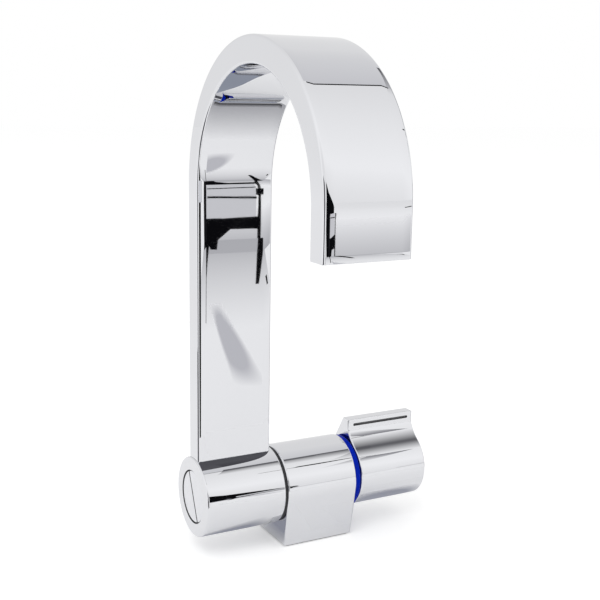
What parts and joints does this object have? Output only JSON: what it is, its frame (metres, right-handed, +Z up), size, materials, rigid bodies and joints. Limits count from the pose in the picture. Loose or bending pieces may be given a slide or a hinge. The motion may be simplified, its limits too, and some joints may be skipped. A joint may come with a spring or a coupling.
{
  "type": "folding caravan tap",
  "caption": "Folding cold-water tap: flat arched spout on a cross axle through a small foot block, lever knob with blue ring at the other end.",
  "frame": {"origin": "centre of the foot's mounting face", "axes": "+X along the swivel axis from the spout's hub to the knob, -Y towards the user, the way the spout reaches, +Z up from the worktop"},
  "size_m": [0.1145, 0.1309, 0.225],
  "materials": {
    "chrome": "mirror polished plating",
    "brass": "turned",
    "plated_brass": "plated turned brass",
    "steel": "bright",
    "rubber": "matt",
    "black_plastic": "matt",
    "white_plastic": "satin",
    "blue_plastic": "gloss",
    "ceramic": "lapped"
  },
  "bodies": {
    "body": {"body_housing": "chrome", "base_gasket": "rubber", "pivot_axle": "plated_brass", "axle_orings": "rubber", "cone_spring": "steel", "seam_washer": "black_plastic", "valve_sleeve": "brass", "sleeve_oring": "rubber", "inlet_seal": "rubber", "fixed_disc": "ceramic", "gland_nut": "brass", "colour_ring": "blue_plastic", "knob_glide": "black_plastic", "switch_carrier": "black_plastic", "switch_case": "black_plastic", "switch_terminals": "brass"},
    "spout": {"spout_hub": "chrome", "spout_tube": "chrome", "outlet_insert": "black_plastic", "hub_bushes": "white_plastic", "stop_pin": "steel"},
    "knob": {"knob_shell": "chrome", "valve_spindle": "brass", "moving_disc": "ceramic", "spindle_oring": "rubber", "spindle_clip": "steel", "switch_cam": "white_plastic", "knob_screw": "steel", "end_cap": "chrome"},
    "switch_plunger": {"switch_rod": "brass", "switch_button": "white_plastic"}
  },
  "joints": [
    {"name": "spout_fold", "type": "hinge", "parent": "body", "child": "spout", "pos_m": [0, 0, 0.0265], "axis": [1, 0, 0], "range_deg": [0, 90]},
    {"name": "knob_turn", "type": "hinge", "parent": "body", "child": "knob", "pos_m": [0, 0, 0.0265], "axis": [1, 0, 0], "range_deg": [0, 90]},
    {"name": "switch_push", "type": "slide", "parent": "body", "child": "switch_plunger", "axis": [0, 0, -1], "range_m": [0, 0.0012]}
  ],
  "couplings": [
    {"joint": "switch_push", "follows": "knob_turn", "m_per_rad": 0.00076394}
  ]
}
